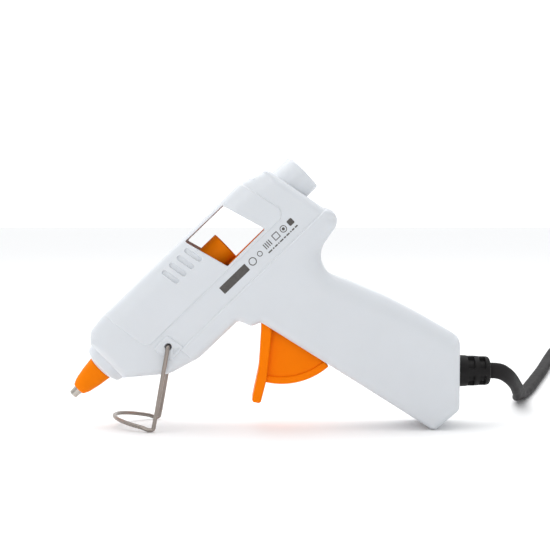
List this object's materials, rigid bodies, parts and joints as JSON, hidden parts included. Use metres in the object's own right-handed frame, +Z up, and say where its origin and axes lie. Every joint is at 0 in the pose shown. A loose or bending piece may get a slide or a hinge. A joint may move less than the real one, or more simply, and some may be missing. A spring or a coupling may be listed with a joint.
{
  "type": "hot-melt glue gun",
  "caption": "Small mains glue gun on a bent-wire stand, with a trigger-driven stick feed, a heated nozzle and a flat cord with plug.",
  "frame": {"origin": "on the surface that the gun stands on, under the middle of its bounding box without the cord", "axes": "+X from the nozzle to the end of the handle, +Y to the gun's far side (the screw side), +Z up"},
  "size_m": [0.3618, 0.2966, 0.1054],
  "materials": {
    "white_plastic": "fine satin moulding texture",
    "orange_plastic": "satin moulded plastic",
    "orange_silicone": "matt heat-resistant silicone",
    "nozzle_metal": "turned, a little heat-stained",
    "cast_aluminium": "cast and fettled",
    "insulating_film": "amber heat-resistant film",
    "heater_ceramic": "fired, unglazed",
    "contact_brass": "bright nickel-brass",
    "wire_steel": "drawn steel wire, dull plating",
    "screw_steel": "zinc plated",
    "black_rubber": "matt moulded",
    "black_cord": "satin extruded sheath",
    "plug_plastic": "moulded plug body",
    "lead_brown": "insulated lead",
    "lead_blue": "insulated lead",
    "fibreglass": "woven glass sleeving"
  },
  "bodies": {
    "housing": {"left_housing": "white_plastic", "right_housing": "white_plastic", "rear_guide_tube": "white_plastic", "cord_clamp": "white_plastic", "nozzle": "nozzle_metal", "nozzle_cover": "orange_silicone", "inlet_sleeve": "orange_silicone", "melt_chamber": "cast_aluminium", "heater_insulation": "insulating_film", "ptc_element": "heater_ceramic", "electrode_upper": "contact_brass", "electrode_lower": "contact_brass", "sleeve_clamp": "wire_steel", "return_spring": "wire_steel", "trigger_pin": "wire_steel", "housing_screw_1": "screw_steel", "housing_screw_2": "screw_steel", "housing_screw_3": "screw_steel", "housing_screw_4": "screw_steel", "housing_screw_5": "screw_steel", "clamp_screw_1": "screw_steel", "clamp_screw_2": "screw_steel", "strain_relief": "black_rubber", "inner_cord_end": "black_cord", "live_lead": "lead_brown", "neutral_lead": "lead_blue", "live_sleeve": "fibreglass", "neutral_sleeve": "fibreglass", "power_cord": "black_cord", "cord_tail": "black_cord", "cord_coil": "black_cord", "cord_tie": "black_rubber", "plug": "plug_plastic", "plug_pin_1": "contact_brass", "plug_pin_2": "contact_brass"},
    "trigger": {"trigger": "orange_plastic"},
    "feed": {"feed_carriage": "orange_plastic"},
    "stand": {"wire_stand": "wire_steel"}
  },
  "joints": [
    {"name": "trigger_pull", "type": "hinge", "parent": "housing", "child": "trigger", "pos_m": [0.0074, 0, 0.0447], "axis": [0, -1, 0], "range_deg": [0, 28], "stiffness_Nm_per_rad": 0.12, "springref_deg": -28.65},
    {"name": "feed_slide", "type": "slide", "parent": "housing", "child": "feed", "axis": [-0.7193, 0, -0.6947], "range_m": [0, 0.01115], "deforming": ["return_spring"]},
    {"name": "stand_fold", "type": "hinge", "parent": "housing", "child": "stand", "pos_m": [-0.0363, 0, 0.0327], "axis": [0, -1, 0], "range_deg": [-12, 90]}
  ],
  "couplings": [
    {"joint": "feed_slide", "follows": "trigger_pull", "m_per_rad": 0.02275}
  ]
}
